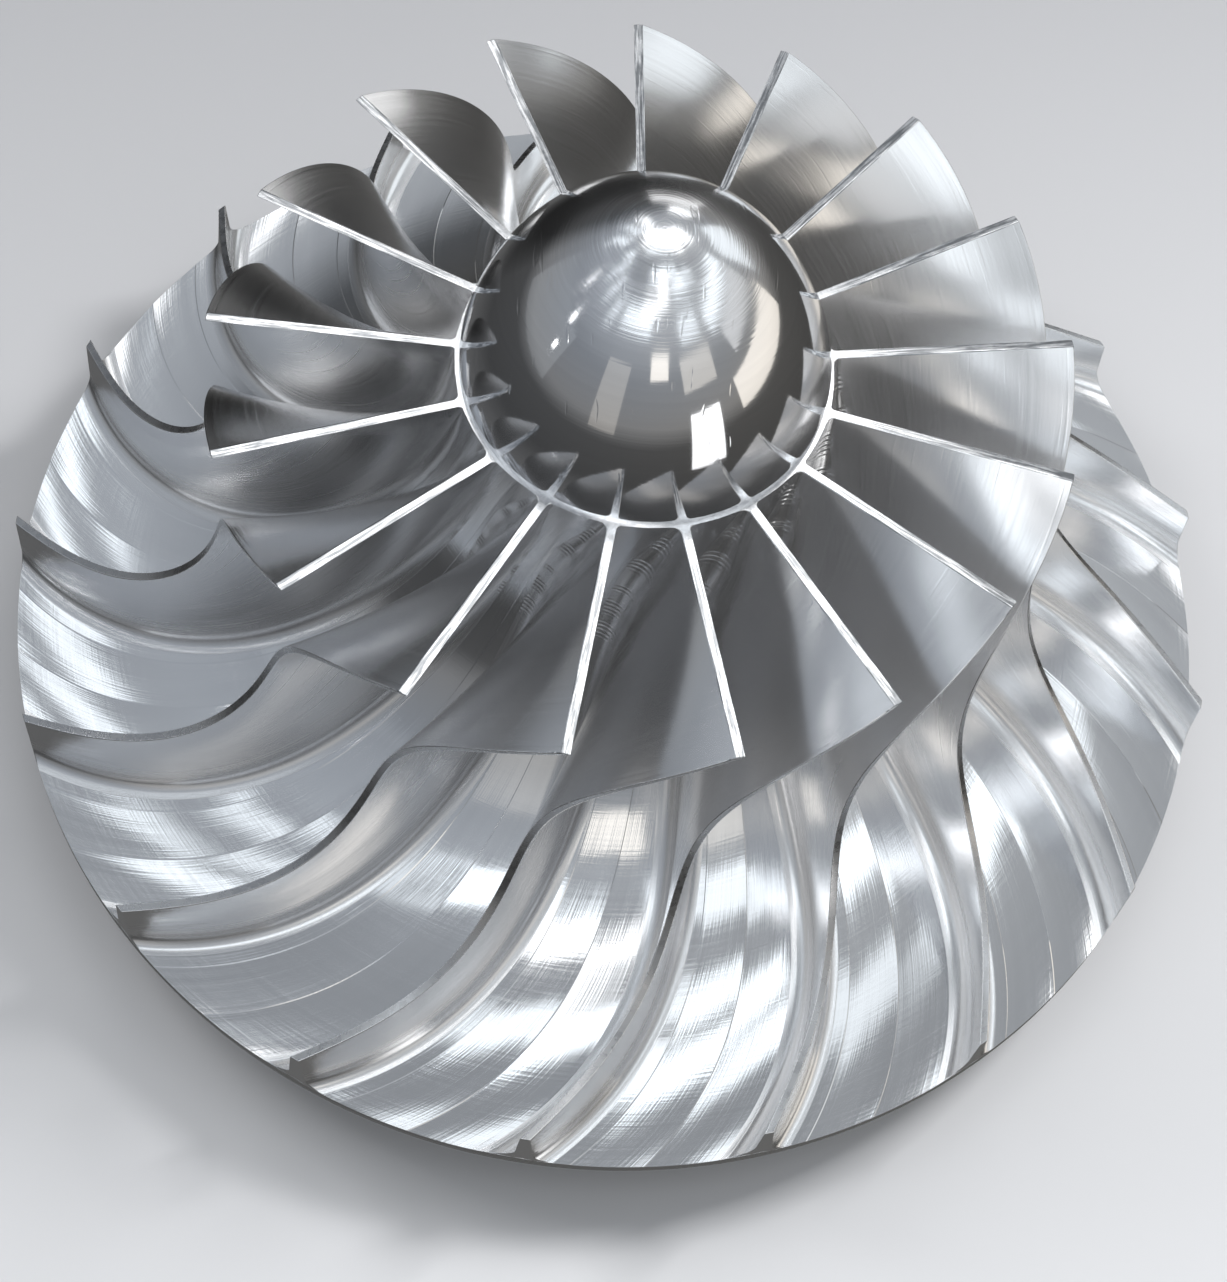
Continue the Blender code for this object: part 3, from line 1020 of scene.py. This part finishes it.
# %% World
DOWN_TONE = (1.01, 1.00, 0.98)
UP_TONE = (0.92, 0.97, 1.03)
WORLD_STOPS = (                         # height from straight down to straight up, brightness and tone
    (0.0, 0.13, DOWN_TONE), (0.15, 0.12, DOWN_TONE), (0.30, 0.06, DOWN_TONE), (0.46, 0.075, DOWN_TONE),
    (0.50, 0.15, DOWN_TONE), (0.54, 0.22, DOWN_TONE), (0.70, 0.26, UP_TONE), (0.78, 0.35, UP_TONE),
    (0.87, 0.41, UP_TONE), (0.94, 0.34, UP_TONE), (1.0, 0.28, UP_TONE),
)
LEFT_TONE = (0.87, 0.90, 0.95)
RIGHT_TONE = (1.12, 1.10, 1.07)
DARK_WALL_TOWARDS = (-0.26, 0.97, 0.0)
DARK_WALL_FADE = (0.80, 0.92)           # cosine of the angle from its middle
DARK_WALL = 0.30

world = bpy.data.worlds.new("studio")
bpy.context.scene.world = world
world.use_nodes = True
sky = world.node_tree
background = sky.nodes["Background"]
direction = add_node(sky, "ShaderNodeTexCoord").outputs["Generated"]
apart = add_node(sky, "ShaderNodeSeparateXYZ", {"Vector": direction})
ramp = add_node(sky, "ShaderNodeValToRGB", {"Fac": ranged(sky, apart.outputs["Z"], -1, 1)})
while len(ramp.color_ramp.elements) < len(WORLD_STOPS):
    ramp.color_ramp.elements.new(0.5)
for element, (position, level, tone) in zip(ramp.color_ramp.elements, WORLD_STOPS):
    element.position = position
    element.color = (*(level * part for part in tone), 1)
sides = tones(sky, ranged(sky, apart.outputs["X"], -1, 1), LEFT_TONE, RIGHT_TONE)
filled = add_node(sky, "ShaderNodeVectorMath", {0: ramp.outputs["Color"], 1: sides}, operation="MULTIPLY")
rearward = add_node(sky, "ShaderNodeVectorMath", {0: direction, 1: DARK_WALL_TOWARDS},
                    operation="DOT_PRODUCT")
dimmed = ranged(sky, rearward.outputs["Value"], *DARK_WALL_FADE, 1, DARK_WALL)
set_inputs(sky, background, {"Color": filled.outputs[0], "Strength": dimmed})
print("world stops:", len(WORLD_STOPS))

# %% [markdown]
# Rectangular softboxes make the bright bands. Each is given by the direction it is seen in from the
# wheel, as the turn from +X and the angle from straight up. They could be glowing planes, but an
# area light stays out of the camera's sight and gives less noise. Two of them are kept out of the
# mirrors, and bare metal has no other way to show a light, so they brighten the sweep alone. Light
# that goes from blade to blade fades fast, and a few mirrored bounces are enough.

# %% Softboxes
NEUTRAL = (1.0, 1.0, 1.0)
COOL = (0.90, 0.96, 1.0)
WARM = (1.0, 0.93, 0.83)

# name: turn from +X, angle from straight up, width, height, radiance, colour
SOFTBOXES = {
    "key": (80, 22, 1.05, 0.60, 1.9, NEUTRAL),
    "key_side": (58, 34, 0.60, 0.30, 1.5, NEUTRAL),
    "overhead_rear": (95, 9, 0.75, 0.20, 0.9, COOL),
    "overhead_front": (-75, 11.5, 0.72, 0.26, 1.2, COOL),
    "tube_front": (-81, 21, 0.22, 0.60, 1.6, NEUTRAL),
    "front_high": (-114, 38, 0.70, 0.28, 1.2, COOL),
    "overhead_right": (-25, 25, 0.45, 0.30, 0.7, COOL),
    "overhead_corner": (-50, 24, 0.34, 0.26, 1.1, COOL),
    "window_front": (-100, 31, 0.44, 0.24, 1.3, NEUTRAL),
    "rear_left_1": (104, 43, 0.24, 0.50, 1.2, NEUTRAL),
    "rear_left_2": (122, 41, 0.14, 0.50, 1.0, COOL),
    "rear_left_3": (141, 41, 0.20, 0.50, 0.9, COOL),
    "overhead_left": (163, 27, 0.22, 0.26, 1.0, COOL),
    "left_high_1": (181, 33, 0.14, 0.44, 0.8, COOL),
    "left_high_2": (199, 36, 0.14, 0.44, 0.8, COOL),
    "left_high_3": (217, 40, 0.18, 0.50, 0.6, COOL),
    "left_low": (176, 73, 1.70, 0.80, 0.08, COOL),
    "right_high": (-8, 45, 1.40, 0.30, 1.1, COOL),
    "right_window": (-5, 60, 1.30, 0.40, 0.40, NEUTRAL),
    "front_side": (-56, 43, 0.46, 0.34, 0.8, COOL),
    "front_middle": (-86, 56, 0.36, 0.34, 0.8, WARM),
    "rear_right": (38, 65, 0.75, 0.66, 0.85, COOL),
    "rear_arc": (72, 62, 0.50, 0.24, 1.8, NEUTRAL),
    "front_right": (-57, 61, 0.70, 0.45, 0.35, WARM),
    "front_warm": (-117, 72, 0.50, 0.95, 0.18, WARM),
    "window_low": (-57, 90, 0.58, 0.80, 1.3, NEUTRAL),
    "right_low": (-8, 80, 1.80, 0.46, 0.75, WARM),
    "rear_low": (79, 78, 0.80, 0.40, 0.9, NEUTRAL),
    "lamp_1": (175, 50, 0.08, 0.08, 5.0, NEUTRAL),
    "lamp_2": (-168, 61, 0.08, 0.08, 5.0, NEUTRAL),
    "lamp_3": (-165, 73, 0.08, 0.08, 5.0, NEUTRAL),
    "sweep_key": (24, 44, 0.50, 0.50, 38.0, NEUTRAL),
    "sweep_left": (152, 50, 0.80, 0.80, 6.0, NEUTRAL),
}
ONLY_ON_THE_SWEEP = ("sweep_key", "sweep_left")
print("softboxes:", len(SOFTBOXES))

# %% Hang the softboxes
WHEEL_MIDDLE = Vector((0, 0, 0.12))
SOFTBOX_DISTANCE = 1.8
MIRROR_BOUNCES = 6


def softbox(name, turn, tilt, width, height, radiance, colour):
    """A rectangular light that faces the wheel. Radiance is how bright its surface looks."""
    turn, tilt = math.radians(turn), math.radians(tilt)
    away = Vector((math.cos(turn) * math.sin(tilt), math.sin(turn) * math.sin(tilt), math.cos(tilt)))
    lamp = bpy.data.lights.new(name, "AREA")
    lamp.shape = "RECTANGLE"
    lamp.size, lamp.size_y = width, height
    lamp.energy = radiance * width * height * math.pi
    lamp.color = colour
    box = bpy.data.objects.new(name, lamp)
    bpy.context.scene.collection.objects.link(box)
    box.location = WHEEL_MIDDLE + away * SOFTBOX_DISTANCE
    box.rotation_euler = (-away).to_track_quat("-Z", "Y").to_euler()
    box.visible_camera = False
    return box


for name, values in SOFTBOXES.items():
    softbox(name, *values).visible_glossy = name not in ONLY_ON_THE_SWEEP
bpy.context.scene.view_settings.view_transform = "Standard"
bpy.context.scene.cycles.glossy_bounces = MIRROR_BOUNCES
